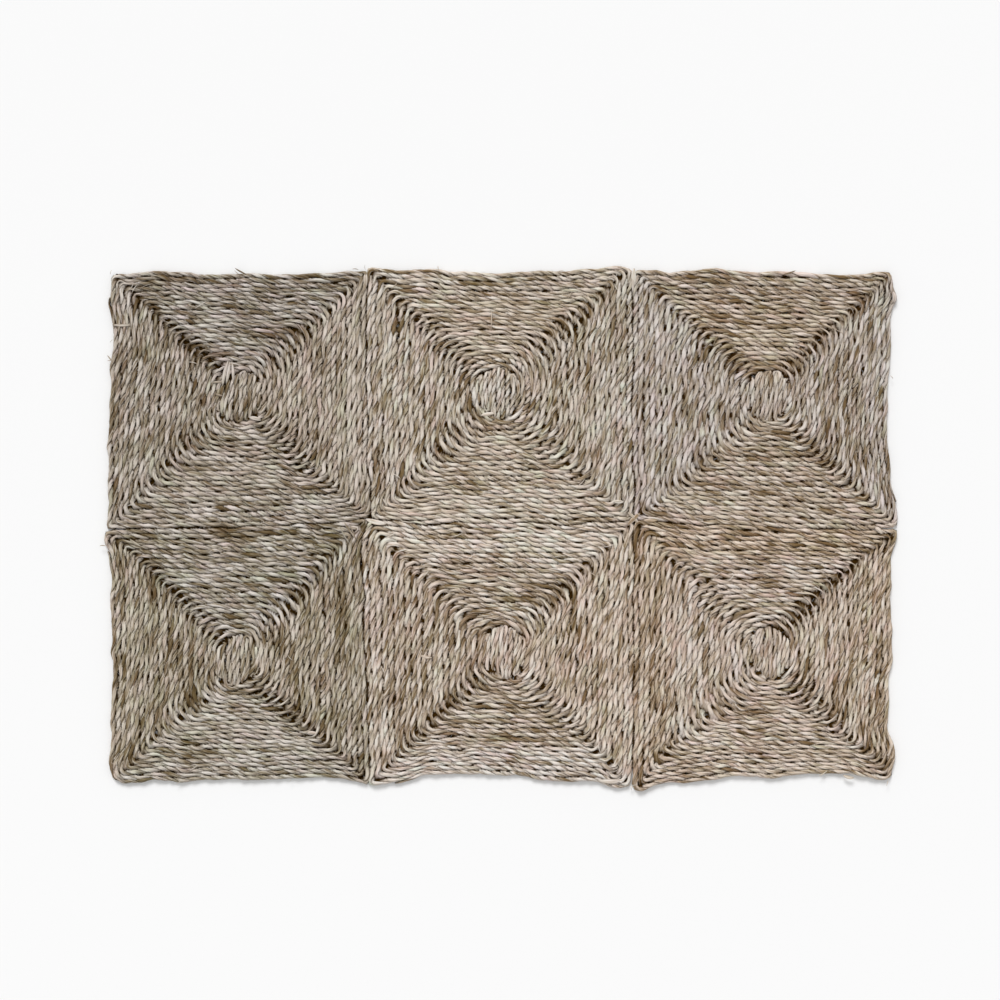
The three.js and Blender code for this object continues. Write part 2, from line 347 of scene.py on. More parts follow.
def nominal_sides(panel):
    """The places of a panel's left, right, far and near side."""
    left, right = COLUMN_EDGES[panel.column : panel.column + 2]
    far, near = ROW_EDGES[panel.row : panel.row + 2]
    return left, right, far, near


def follow(panel, x, y):
    """Moves points of the square panel to where the uneven outline and seams take them."""
    left, right, far, near = nominal_sides(panel)
    across, along = x - (left + right) / 2, y - (far + near) / 2
    left_table = [LEFT_SIDE, LEFT_SEAM, RIGHT_SEAM][panel.column]
    right_table = [LEFT_SEAM, RIGHT_SEAM, RIGHT_SIDE][panel.column]
    left_sign = -1 if panel.column == 0 else 1
    far_table = FAR_SIDE if panel.row == 0 else CROSS_SEAM
    near_table = CROSS_SEAM if panel.row == 0 else NEAR_SIDE
    near_sign = 1 if panel.row == 0 else -1
    side_x = np.where(across < 0, left_sign * read_table(left_table, y), read_table(right_table, y))
    side_y = np.where(along > 0, read_table(far_table, x), near_sign * read_table(near_table, x))
    share_x = ramp(np.abs(across) / ((right - left) / 2), RIM_SHARE, 1)
    share_y = ramp(np.abs(along) / ((far - near) / 2), RIM_SHARE, 1)
    return np.stack([x + share_x * side_x, y + share_y * side_y], axis=-1)


def row_points(panel, turn, reach):
    """Points on the panel's rows of rope. reach runs from 0 at the core to 1 at the outline, and
    turn from 0 to 1 clockwise from where the corner with the rope's tail begins."""
    left, right, far, near = nominal_sides(panel)
    core_x = (left + right) / 2 + panel.core_x
    core_y = (far + near) / 2 + panel.core_y
    left = between(core_x - CORE_HALF_WIDTH, left + SEAM_GAP / 2, reach)
    right = between(core_x + CORE_HALF_WIDTH, right - SEAM_GAP / 2, reach)
    far = between(core_y + CORE_HALF_LENGTH, far - SEAM_GAP / 2, reach)
    near = between(core_y - CORE_HALF_LENGTH, near + SEAM_GAP / 2, reach)
    rounding = np.array(CORNER_ROUNDING[panel.name])[:, None]
    inner_corner = CORE_CORNER + rounding * np.maximum(reach, 0)
    radius = between(OUTER_CORNER, inner_corner, np.clip(1 - reach, 0, 1) ** CORNER_POWER)
    corners_x = np.stack([left, right, right, left]) + radius * [[1], [-1], [-1], [1]]
    corners_y = np.stack([far, far, near, near]) + radius * [[-1], [-1], [1], [1]]
    each = np.arange(len(turn))

    def on_arc(corner, share):
        angle = math.pi - math.pi / 2 * (corner + share)
        x = corners_x[corner, each] + radius[corner, each] * np.cos(angle)
        y = corners_y[corner, each] + radius[corner, each] * np.sin(angle)
        return x, y

    quarter = np.floor(turn / QUARTER).astype(int)
    in_quarter = turn - quarter * QUARTER
    corner = (panel.tail + quarter) % 4
    side_share = np.clip((in_quarter - CORNER_SHARE) / SIDE_SHARE, 0, 1)
    from_x, from_y = on_arc(corner, np.minimum(in_quarter / CORNER_SHARE, 1))
    to_x, to_y = on_arc((corner + 1) % 4, 0)
    return follow(panel, between(from_x, to_x, side_share), between(from_y, to_y, side_share))


def rug_shift():
    """From the nominal lines' origin to the rug's middle, which is the frame's origin."""
    turn = np.linspace(0, LAST_TURN, RIM_SAMPLES)
    rims = np.concatenate([row_points(p, turn, np.ones(len(turn))) for p in PANELS])
    middle = (rims.min(axis=0) + rims.max(axis=0)) / 2
    (low_x, low_y, _), (high_x, high_y, _) = CAD_BOX
    return np.array([low_x + high_x, low_y + high_y]) / 2 / MM - middle


SHIFT = rug_shift()


# Unevenness along the rope: the length in millimetres over which a value changes, and about how
# much it changes, in its own unit or as a share of itself
Uneven = namedtuple("Uneven", "length amount")
STRAY_WIDE = Uneven(35, 0.42)  # how far the rope leaves its line
STRAY_NARROW = Uneven(12, 0.46)
UNEVEN_WIDTH = Uneven(18, 0.07)
UNEVEN_HEIGHT = Uneven(20, 0.05)
UNEVEN_LIFT = Uneven(50, 0.2)  # how far it stands off the floor
UNEVEN_LAY = Uneven(80, 0.16)
UNEVEN_PHASE = Uneven(18, 0.28)
UNEVEN_STRAND = Uneven(9, 0.05)  # the width of one strand
UNEVEN_SECTION = Uneven(10, 0.06)  # and each corner of its section
UNEVEN_TONE = Uneven(70, 0.25)
UNEVEN_HUE = Uneven(160, 0.6)

# The same from one pass of a strand over the top to the next
PASS_WIDTH = 0.08
PASS_THICKNESS = 0.05
PASS_TONE = 1.3
PASS_HUE = 0.8
PASS_HELD = 0.8  # part of a pass over which a strand keeps its value


def wander(rng, along, uneven):
    """A smooth random value along a line."""
    place = (along - along.min()) / uneven.length
    values = rng.normal(0, uneven.amount, int(place.max()) + SPARE)
    index = place.astype(int)
    share = smooth(place - index)
    return values[index] * (1 - share) + values[index + 1] * share


def pass_value(rng, passes, amount):
    """A random value for each time that a strand passes over the top, which changes below."""
    passes = passes - passes.min()
    values = rng.normal(0, amount, int(passes.max()) + SPARE)
    index = passes.astype(int)
    share = ramp(passes - index, PASS_HELD, 1)
    return values[index] * (1 - share) + values[index + 1] * share


def patchy(points, uneven, seed):
    """A smooth random value over the rug's plane, which changes from cell to cell."""
    grid = np.random.default_rng(seed).normal(0, uneven.amount, (PATCH_CELLS, PATCH_CELLS))
    place = points / uneven.length + PATCH_CELLS / 2
    index = np.floor(place).astype(int)
    share = smooth(place - index)
    index = index % (PATCH_CELLS - 1)
    column, row = index[:, 0], index[:, 1]
    near = grid[column, row] * (1 - share[:, 0]) + grid[column + 1, row] * share[:, 0]
    far = grid[column, row + 1] * (1 - share[:, 0]) + grid[column + 1, row + 1] * share[:, 0]
    return near * (1 - share[:, 1]) + far * share[:, 1]


# How far the rows have strayed from their even lines, neighbours together
WIDE_DRIFT = Uneven(26, 1.0)
NARROW_DRIFT = Uneven(13, 0.5)
WIDE_SEEDS = (11, 12)
NARROW_SEEDS = (13, 14)


def drift(points):
    """That drift at points of the plane, to the right and to the far side."""
    wide = [patchy(points, WIDE_DRIFT, seed) for seed in WIDE_SEEDS]
    narrow = [patchy(points, NARROW_DRIFT, seed) for seed in NARROW_SEEDS]
    return np.stack([wide[0] + narrow[0], wide[1] + narrow[1]], axis=1)


# Places where the rope has been pushed out of line: their middles, how far round them it is moved,
# and by how much to the right and to the far side
Push = namedtuple("Push", "x y reach right far")
PUSHES = [
    Push(-456, 276, 14, 3, 0),
    Push(-149, 291, 9, -2, 2),
    Push(-161, 294, 8, 2, -2),
    Push(-457, 298, 15, 4, -4),
    Push(-446, -290, 12, 3, 3),
    Push(-455, -16, 9, -4, 0),
    Push(451, 263, 9, 4, 0),
    Push(-146, -294, 10, -3, -4),
    Push(129, -294, 16, 0, -3),
    Push(148, -291, 6, 0, 4),
    Push(163, -297, 9, -1, -4),
    Push(143, 252, 7, -2, 0),
    Push(154, 252, 7, 2, 0),
    Push(143, 239, 7, -2, 0),
    Push(154, 239, 7, 2, 0),
    Push(128, 110, 8, -2, 0),
    Push(137, 110, 8, 2, 0),
    Push(-160, 8, 14, 3, 2),
]


def pushed(points):
    """Points of the rope after the pushes."""
    moved = np.array(points)
    for push in PUSHES:
        away = np.linalg.norm(points - (push.x, push.y), axis=1) / push.reach
        moved += np.exp(-(away**2))[:, None] * (push.right, push.far)
    return moved


def headings(points):
    """The direction of a line at each of its points."""
    ahead = np.gradient(points, axis=0)
    return ahead / np.linalg.norm(ahead, axis=1)[:, None]


Path = namedtuple("Path", "along line sideways room fullness height outermost")


def even_path(points, room, fullness, height, outermost):
    """A path at even steps through points. Room is what the rope has on each side of it, fullness
    and height are the shares of its width and height that it keeps, and outermost is 1 in the last
    row, beside the next panel or the rug's rim."""
    length = np.concatenate([[0], np.cumsum(np.linalg.norm(np.diff(points, axis=0), axis=1))])
    along = np.arange(0, length[-1], STEP)
    line = np.stack([np.interp(along, length, points[:, k]) for k in range(2)], axis=1)
    ahead = headings(line)
    sideways = np.stack([-ahead[:, 1], ahead[:, 0]], axis=1)
    shares = [np.interp(along, length, values) for values in (room, fullness, height, outermost)]
    return Path(along, pushed(line + SHIFT + drift(line)), sideways, *shares)


def coil_path(panel):
    """The middle line of the coil, from the core to the tail."""
    count = int((TURNS + 1) * PATH_SAMPLES)
    turns = np.linspace(COIL_START, TURNS + 1, count, endpoint=False)
    turn = turns % 1
    thinning = ramp(turn, TAIL_START, 1) * (turns > 0)
    rows = TURNS + np.where(turn < TAIL_START, turn, TAIL_START * (1 - thinning))
    width = np.minimum(rows - turns + 1, 1)
    kept = width > TAIL_THINNEST
    turn, rows, width, turns = turn[kept], rows[kept], width[kept], turns[kept]
    middle = row_points(panel, turn, (turns - 1 + width / 2) / rows)
    outer = row_points(panel, turn, (turns - 1 + width) / rows)
    ahead = headings(middle)
    out = outer - middle
    room = np.abs(ahead[:, 0] * out[:, 1] - ahead[:, 1] * out[:, 0])
    past_corner = (turn - CORNER_SHARE / 2 + QUARTER / 2) % 1
    corner = (np.floor(past_corner / QUARTER).astype(int) + panel.tail) % 4
    from_corner = np.abs(past_corner % QUARTER - QUARTER / 2)
    grown = between(CORE_PINCH, 1, smooth(turns / CORNER_FADE))
    pinch = np.array(CORNER_PINCH[panel.name])[corner] * grown
    fullness = 1 - pinch * smooth(1 - from_corner / CORNER_LENGTH)
    height = between(BEND_DIP, 1, smooth((turns - COIL_START) / COIL_RISE))
    outermost = smooth((turns - TURNS + TAIL_BARE) * PATH_SAMPLES)
    return even_path(middle, room, fullness, height, outermost)


def core_path(panel):
    """The middle line of the core, to and fro between its ends, inside the coil's first turn."""
    turns = np.linspace(0, 1, PATH_SAMPLES, endpoint=False)
    edge = row_points(panel, turns, (turns - 1) / (TURNS + turns))
    ahead = np.roll(edge, -1, axis=0)
    left, right = edge[:, 0].min(), edge[:, 0].max()
    middle_x, middle_y = (left + right) / 2, (edge[:, 1].min() + edge[:, 1].max()) / 2
    pitch = (right - left) / CORE_PASSES
    points, height = [], []
    for number in range(CORE_PASSES):
        x = left + (number + 0.5) * pitch
        ends = edge[(edge[:, 0] - x) * (ahead[:, 0] - x) <= 0, 1]
        near, far = ends.min() + BEND_ROOM, ends.max() - BEND_ROOM
        outward = 1 if (number % 2 == 0) == (panel.tail == FAR_LEFT) else -1
        start, end = (far, near) if outward > 0 else (near, far)
        if number == 0:
            start += outward * FREE_END
        else:
            for angle in np.linspace(0, math.pi, BEND_POINTS)[1:-1]:
                bend_x = x - pitch / 2 - pitch / 2 * math.cos(angle)
                bend_y = between(last_end, start, angle / math.pi)
                points.append((bend_x, bend_y + outward * pitch / 2 * math.sin(angle)))
                height.append(between(BEND_HEIGHT, BEND_DIP, math.sin(angle)))
        if number == CORE_PASSES - 1:
            end -= outward * FREE_END
        for share in np.linspace(0, 1, PASS_POINTS):
            points.append((x, between(start, end, share)))
            from_bend = min(share, 1 - share) * abs(end - start)
            height.append(between(BEND_HEIGHT, 1, smooth(from_bend / BEND_REACH)))
        last_end = end
    points = np.array(points)
    bow = 1 - CORE_BOW * ((points[:, 1] - middle_y) / CORE_HALF_LENGTH) ** 2
    points[:, 0] = middle_x + (points[:, 0] - middle_x) * bow
    whole = np.ones(len(points))
    return even_path(points, pitch / 2 * bow, whole, np.array(height), 0 * whole)


def skin(name, tubes):
    """A mesh of closed tubes through rings of points in millimetres, with a cap over each end."""
    loops, starts, totals = [], [], []
    first, used = 0, 0
    for rings in tubes:
        count, sides = rings.shape[:2]
        ring = first + np.arange(count - 1)[:, None] * sides
        side = np.arange(sides)[None, :]
        after = (side + 1) % sides
        corners = [ring + side, ring + after, ring + sides + after, ring + sides + side]
        quads = np.stack(corners, axis=-1).reshape(-1)
        first_cap = first + np.arange(sides)[::-1]
        last_cap = first + (count - 1) * sides + np.arange(sides)
        loops += [quads, first_cap, last_cap]
        cap_start = used + quads.size
        starts += [np.arange(used, cap_start, 4), np.array([cap_start, cap_start + sides])]
        totals += [np.full(quads.size // 4, 4), np.array([sides, sides])]
        first += count * sides
        used = cap_start + 2 * sides
    points = np.concatenate([rings.reshape(-1, 3) for rings in tubes])
    loops, starts, totals = (np.concatenate(part).astype(np.int32) for part in (loops, starts, totals))
    mesh = bpy.data.meshes.new(name)
    mesh.vertices.add(len(points))
    mesh.vertices.foreach_set("co", (points * MM).astype(np.float32).ravel())
    mesh.loops.add(len(loops))
    mesh.loops.foreach_set("vertex_index", loops)
    mesh.polygons.add(len(starts))
    mesh.polygons.foreach_set("loop_start", starts)
    mesh.polygons.foreach_set("loop_total", totals)
    mesh.update(calc_edges=True)
    mesh.validate()
    mesh.shade_smooth()
    obj = bpy.data.objects.new(name, mesh)
    bpy.context.scene.collection.objects.link(obj)
    return obj


def attribute(obj, name, values):
    """Keeps a number, or three, for each point of the mesh, for its material to read."""
    kind, field = ("FLOAT", "value") if values.shape[-1] != 3 else ("FLOAT_VECTOR", "vector")
    made = obj.data.attributes.new(name, kind, "POINT")
    made.data.foreach_set(field, values.astype(np.float32).ravel())


# inside is how much painted shade, with dust, each corner takes deep between the strands
Strand = namedtuple("Strand", "rings fibre tone hue inside")

# Where round a strand's section its parts lie: the two values between which each fades in, of the
# height or the place across, in rope radii, or of how far the strand is turned to one side
FOOT_DOWN = (-0.05, -0.25)  # the foot, which reaches over to the other strand's side
FOOT_ACROSS = (0.3, 0.1)
FOOT_ROUND = (0, 1 / 3)
PRESSED_DOWN = (0.05, -0.25)  # the underside, pressed flat and wide
PRESSED_OUT = (0.1, 0.35)
# These four set where painted shade, with dust, lies between the strands
SUNK_DOWN = (0.2, -0.15)  # what lies deep between the strands
SUNK_UNDER = (-1.1, -0.8)
FLANK = (0.45, 0.85)  # the two sides of the rope
CROSSING = (0.4, 1)  # where a strand dips under the other

Rope = namedtuple(
    "Rope",
    "line half_width half_height middle_z underside_in underside_out fullness outermost on_rim",
)


def shape_rope(path, rng):
    """Where a rope lies and how thick it is along a path, uneven by chance."""
    along = path.along
    stray = wander(rng, along, STRAY_WIDE) + wander(rng, along, STRAY_NARROW)
    line = path.line + path.sideways * stray[:, None]
    natural = ROPE_HALF_WIDTH * (1 + wander(rng, along, UNEVEN_WIDTH))
    half_width = NESTING * natural * np.clip(path.room / natural, TIGHTEST, LOOSEST)
    near_edge = np.any(np.abs(line) > np.array(CAD_BOX[1])[:2] / MM - RIM_BAND, axis=1)
    on_rim = near_edge & (path.outermost > 0.5)
    fullness = between(path.fullness, 1, RIM_FULLER * on_rim)
    half_width = fullness * np.where(path.room < TIGHTEST * natural, path.room, half_width)
    half_width = half_width * (1 - SEAM_PINCH * path.outermost)
    squeezed = np.clip(path.room / natural, FLATTEST, 1) ** 0.5
    half_height = path.height * ROPE_HALF_HEIGHT * squeezed
    half_height = half_height * (1 + wander(rng, along, UNEVEN_HEIGHT))
    middle_z = half_height + np.abs(wander(rng, along, UNEVEN_LIFT))
    reach = np.minimum(UNDERSIDE_REACH + CORNER_REACH * (1 - fullness), LONGEST_REACH)
    underside_in = reach * path.room
    underside_out = np.where(on_rim, path.room, underside_in)
    return Rope(
        line, half_width, half_height, middle_z, underside_in, underside_out,
        fullness, path.outermost, on_rim,
    )


def press(rope, up, across, cos):
    """How far across a corner of a strand's section lies, pressed by the floor and its neighbours."""
    own_side = across * np.sign(cos)
    foot = ramp(up, *FOOT_DOWN) * ramp(own_side, *FOOT_ACROSS) * ramp(np.abs(cos), *FOOT_ROUND)
    across = across - np.sign(cos) * FOOT_OVERLAP * foot
    pressed = ramp(up, *PRESSED_DOWN) * ramp(np.abs(across), *PRESSED_OUT) * (1 - foot)
    underside = np.where(across > 0, rope.underside_out, -rope.underside_in)
    return between(rope.half_width * across, underside, pressed)


def gap_shade_and_dust(rope, up, across, cos):
    """How much painted shade, with dust, a corner of a strand's section takes for lying deep between
    strands, from 0 to 1.
    """
    sunk = ramp(up, *SUNK_DOWN) * ramp(up, *SUNK_UNDER)
    flank = ramp(np.abs(across) / rope.half_width, *FLANK)
    # The shade is painted darker along a seam and where a corner's gaps lie open
    pinch_opens = smooth((1 - rope.fullness) / OPEN_PINCH)
    open_side = np.maximum(rope.outermost * (across > 0), pinch_opens)
    gap = sunk * flank * between(1, between(CROSSING_SHADE, 1, open_side), cos**2)
    gap = np.maximum(gap, END_SHADE * ramp(cos**2, *CROSSING))
    return gap * (1 - (rope.on_rim & (across > 0)))


def twist(path, rng, offset):
    """The two strands of a rope along a path, twisted round each other."""
    along = path.along
    rope = shape_rope(path, rng)
    lay = LAY * (1 + wander(rng, along, UNEVEN_LAY))
    phase = 2 * math.pi * np.cumsum(STEP / lay) + rng.uniform(0, 2 * math.pi)
    phase = phase + wander(rng, along, UNEVEN_PHASE)
    phase = phase + DWELL * np.sin(2 * phase)
    strands = []
    for number in range(2):
        around = phase + number * math.pi
        cos, sin = np.cos(around), np.sin(around)
        passes = (around + math.pi / 2) / (2 * math.pi)
        pinched = between(STRAND_WIDE, STRAND_PINCHED, cos**2)
        wide = pinched * (1 + pass_value(rng, passes, PASS_WIDTH) + wander(rng, along, UNEVEN_STRAND))
        thick = STRAND_THICK * (1 + pass_value(rng, passes, PASS_THICKNESS))
        rings = np.zeros((len(along), SECTION_CORNERS, 3))
        fibre = np.zeros_like(rings)
        inside = np.zeros(rings.shape[:2])
        for k in range(SECTION_CORNERS):
            angle = 2 * math.pi * k / SECTION_CORNERS
            uneven = 1 + wander(rng, along, UNEVEN_SECTION)
            out = thick * math.cos(angle) * uneven
            side = wide * math.sin(angle) * uneven
            up = (STRAND_OFF_UP + out) * sin + side * cos
            across = press(rope, up, (STRAND_OFF_ACROSS + out) * cos - side * sin, cos)
            rings[:, k, :2] = rope.line + path.sideways * across[:, None]
            rings[:, k, 2] = rope.middle_z + rope.half_height * up
            fibre[:, k, 0] = FIBRE_RADIUS * math.cos(angle)
            fibre[:, k, 1] = FIBRE_RADIUS * math.sin(angle)
            fibre[:, k, 2] = along + offset + STRAND_OFFSET * number
            inside[:, k] = gap_shade_and_dust(rope, up, across, cos)
        rings[:, :, 2] = np.maximum(rings[:, :, 2], LOWEST)
        tone = pass_value(rng, passes, PASS_TONE) + wander(rng, along, UNEVEN_TONE)
        # Painted shade where the rope is pinched round a corner
        tone = tone - CORNER_SHADE * (1 - rope.fullness)
        hue = pass_value(rng, passes, PASS_HUE) + wander(rng, along, UNEVEN_HUE)
        per_ring = np.ones((1, SECTION_CORNERS))
        tones, hues = tone[:, None] * per_ring, hue[:, None] * per_ring
        strands.append(Strand(rings, fibre, tones, hues, inside))
    return strands


def by_side(panel, points, inner, outer, core):
    """A value that the panel's core and sides have, at points of the plane. inner and outer name
    the columns of the shades' table that hold it for each side, near the core and at the edge."""
    left, right, far, near = nominal_sides(panel)
    middle = np.array([(left + right) / 2 + panel.core_x, (far + near) / 2 + panel.core_y]) + SHIFT
    across, along = np.moveaxis((points - middle) / [(right - left) / 2, (far - near) / 2], -1, 0)
    outward = np.maximum(np.abs(across), np.abs(along))
    turned = np.where(along > 0, FAR, NEAR), np.where(across > 0, RIGHT, LEFT)
    shades = [SHADES[panel.name][side] for side in range(4)]
    near_core = np.array([getattr(shade, inner) for shade in shades])
    at_edge = np.array([getattr(shade, outer) for shade in shades])
    fade = smooth((outward - OUTER_ROWS_FROM) / OUTER_ROWS_FADE)
    far_or_near, right_or_left = [between(near_core[side], at_edge[side], fade) for side in turned]
    upright = smooth(0.5 + (np.abs(along) - np.abs(across)) / SIDES_FADE)
    of_side = between(right_or_left, far_or_near, upright)
    return between(core, of_side, smooth(outward / INNER_ROWS_FROM))


# Loose leaves

# Each lies over the rope from where it starts. Headings and bends are in degrees, anticlockwise
# from the rug's right as seen from above
Leaf = namedtuple("Leaf", "x y heading bend length width tone")
LEAVES = {
    "panel_far_left": [
        Leaf(-314, 191, -108, bend=12, length=30, width=4.3, tone=1.1),
        Leaf(-312, 190, -96, bend=-8, length=26, width=3.8, tone=0.8),
        Leaf(-310, 190, -80, bend=-14, length=24, width=3.5, tone=0.3),
        Leaf(-332, 166, 4, bend=-10, length=13, width=2.6, tone=-0.3),
        Leaf(-329, 153, -24, bend=20, length=9, width=2.3, tone=-0.6),
        Leaf(-290, 126, -8, bend=-14, length=14, width=4.6, tone=1.3),
        Leaf(-447, 232, -4, bend=8, length=21, width=3.4, tone=-0.4),
        Leaf(-447, 189, 118, bend=18, length=10, width=1.6, tone=-1.6),
        Leaf(-445, 192, 196, bend=-20, length=8, width=0.9, tone=-0.8),
        Leaf(-293, 290, 158, bend=-16, length=15, width=1.8, tone=-3.6),
        Leaf(-300, 289, 150, bend=-22, length=9, width=0.8, tone=-0.6),
        Leaf(-156, 293, -92, bend=6, length=17, width=5.2, tone=0.2),
    ],
    "panel_far_middle": [
        Leaf(-12, 249, -88, bend=-6, length=24, width=1.3, tone=-0.2),
        Leaf(-24, 128, 14, bend=-12, length=16, width=4.3, tone=1.0),
        Leaf(18, 122, 32, bend=10, length=12, width=3.5, tone=0.6),
        Leaf(127, 30, -12, bend=18, length=13, width=4.6, tone=1.2),
        Leaf(152, 297, -94, bend=6, length=21, width=5.6, tone=0.2),
        Leaf(145, 17, -42, bend=-14, length=18, width=4.2, tone=-1.0),
    ],
    "panel_far_right": [
        Leaf(323, 290, 10, bend=16, length=15, width=1.8, tone=-3.2),
        Leaf(149, 293, -82, bend=-10, length=24, width=3.6, tone=-0.3),
        Leaf(449, 270, -62, bend=-60, length=13, width=5.2, tone=0.4),
        Leaf(428, 0, -30, bend=-30, length=12, width=4.9, tone=1.1),
    ],
    "panel_near_left": [
        Leaf(-181, 6, -60, bend=14, length=26, width=2.3, tone=0.1),
        Leaf(-186, 2, -70, bend=20, length=24, width=1.4, tone=0.8),
        Leaf(-175, 4, -64, bend=-12, length=22, width=1.3, tone=-0.4),
        Leaf(-225, -236, -4, bend=10, length=12, width=4.6, tone=1.1),
        Leaf(-427, -14, -40, bend=16, length=15, width=3.2, tone=0.4),
    ],
    "panel_near_middle": [
        Leaf(-156, 9, -20, bend=18, length=24, width=6.1, tone=0.8),
        Leaf(-93, -148, -14, bend=12, length=13, width=4.3, tone=1.1),
        Leaf(111, -291, -6, bend=14, length=27, width=5.8, tone=0.7),
        Leaf(132, -292, -14, bend=-16, length=12, width=0.9, tone=0.8),
        Leaf(133, -291, 8, bend=22, length=11, width=0.8, tone=0.2),
    ],
    "panel_near_right": [
        Leaf(392, -285, -26, bend=28, length=13, width=3.8, tone=0.6),
        Leaf(163, 8, -6, bend=12, length=16, width=4.3, tone=-0.6),
        Leaf(159, 16, -142, bend=16, length=20, width=5.2, tone=-0.8),
    ],
}
LEAF_RINGS = 8
LEAF_HALF_THICKNESS = 0.35
LEAF_TOP = 6.8  # height of its middle over the floor
LEAF_ENDS = 4.6  # and of its two ends, which go down between the strands
LEAF_TIP = 0.04  # share of its arch cut off at each end, so that a tip has some width
LEAF_TAPER = 0.7  # power of the arch by which it narrows to its tips
LEAF_THINNING = 0.5  # and the power by which it thins and goes down
LEAF_THICKEST = 1 / 3  # of its width, for half its thickness
LEAF_HUE = 0.6
LOOSE_FIBRES = 36  # fine ones on each panel
EDGE_FIBRES = 4  # and round its outline

# Those fibres lie roughly along the rope, and those at the edge stick out from it
FIBRE_REACH = 0.95  # share of a panel's area that they are strewn over
FIBRE_STEP = 0.001  # of a turn, over which the rope's heading is taken
FIBRE_WIDTH = (0.5, 1.1)  # narrowest and widest
FIBRE_LENGTH = (4, 18)
EDGE_FIBRE_LENGTH = (4, 9)
EDGE_FIBRE_HEADING = (20, 160)
FIBRE_HEADING = 25  # spread
FIBRE_BEND = 30
FIBRE_TONE = (0.3, 0.8)  # mean and spread


def loose_leaf(leaf, rng):
    """A leaf that tapers to both ends and follows the rope's top."""
    share = np.linspace(0, 1, LEAF_RINGS)
    heading = np.radians(leaf.heading + leaf.bend * share)
    ahead = np.stack([np.cos(heading), np.sin(heading)], axis=1)
    steps = np.concatenate([[(0, 0)], ahead[:-1] * leaf.length / (LEAF_RINGS - 1)])
    line = np.array([leaf.x, leaf.y]) + np.cumsum(steps, axis=0)
    sideways = np.stack([-ahead[:, 1], ahead[:, 0]], axis=1)
    arch = np.sin(math.pi * between(LEAF_TIP, 1 - LEAF_TIP, share))
    half_width = leaf.width / 2 * arch**LEAF_TAPER
    thinned = arch**LEAF_THINNING
    half_thickness = min(LEAF_HALF_THICKNESS, leaf.width * LEAF_THICKEST) * thinned
    height = between(LEAF_ENDS, LEAF_TOP, thinned)
    angle = 2 * math.pi * np.arange(SECTION_CORNERS) / SECTION_CORNERS
    rings = np.zeros((LEAF_RINGS, SECTION_CORNERS, 3))
    across = half_width[:, None] * np.sin(angle)
    rings[:, :, :2] = line[:, None] + sideways[:, None] * across[:, :, None]
    rings[:, :, 2] = height[:, None] + half_thickness[:, None] * np.cos(angle)
    fibre = np.zeros_like(rings)
    fibre[:, :, 0] = leaf.width / 2 * np.sin(angle)
    fibre[:, :, 1] = half_thickness[:, None] * np.cos(angle)
    fibre[:, :, 2] = rng.uniform(0, STRAND_OFFSET) + leaf.length * share[:, None]
    flat = np.ones((LEAF_RINGS, SECTION_CORNERS))
    return Strand(rings, fibre, leaf.tone * flat, rng.normal(0, LEAF_HUE) * flat, 0 * flat)


def loose_leaves(panel, rng):
    """The panel's own loose leaves, and fine fibres strewn over it and round its outline."""
    leaves = list(LEAVES[panel.name])
    for number in range(LOOSE_FIBRES + EDGE_FIBRES):
        on_edge = number >= LOOSE_FIBRES
        reach = 1 if on_edge else math.sqrt(rng.uniform(0, FIBRE_REACH))
        turn = np.clip(rng.uniform() + np.array([0, FIBRE_STEP]), 0, LAST_TURN)
        here, ahead = row_points(panel, turn, np.full(2, reach))
        along = math.degrees(math.atan2(ahead[1] - here[1], ahead[0] - here[0]))
        turned = rng.uniform(*EDGE_FIBRE_HEADING) if on_edge else rng.normal(0, FIBRE_HEADING)
        heading = along + turned
        width = rng.uniform(*FIBRE_WIDTH)
        length = rng.uniform(*(EDGE_FIBRE_LENGTH if on_edge else FIBRE_LENGTH))
        start = here + SHIFT
        bend = rng.normal(0, FIBRE_BEND)
        tone = rng.normal(*FIBRE_TONE)
        leaves.append(Leaf(*start, heading, bend, length, width, tone))
    return [loose_leaf(leaf, rng) for leaf in leaves]


def make_strands(panel, seed):
    """Two pieces for a panel's rope, each with one strand of its core and of its coil."""
    rng = np.random.default_rng(seed)
    coil = twist(coil_path(panel), rng, 2 * seed * STRAND_OFFSET)
    core = twist(core_path(panel), rng, (2 * seed + 0.5) * STRAND_OFFSET)
    tubes_of = {"a": [coil[0], core[0]], "b": [coil[1], core[1], *loose_leaves(panel, rng)]}
    pieces = []
    for letter, tubes in tubes_of.items():
        strand = skin(f"{panel.name}_strand_{letter}", [tube.rings for tube in tubes])
        places = [tube.rings[:, :, :2] for tube in tubes]
        shades = [by_side(panel, place, "inner", "outer", CORE_SHADE) for place in places]
        parts_of = {
            "fibre": [tube.fibre for tube in tubes],
            "tone": [tube.tone + shade for tube, shade in zip(tubes, shades)],
            "hue": [tube.hue for tube in tubes],
            "inside": [tube.inside for tube in tubes],
            "warmth": [
                by_side(panel, place, "warm_inner", "warm_outer", panel.core_warmth)
                for place in places
            ],
        }
        for name, parts in parts_of.items():
            values = np.concatenate([part.reshape(len(part) * SECTION_CORNERS, -1) for part in parts])
            attribute(strand, name, values)
        pieces.append(strand)
    return pieces
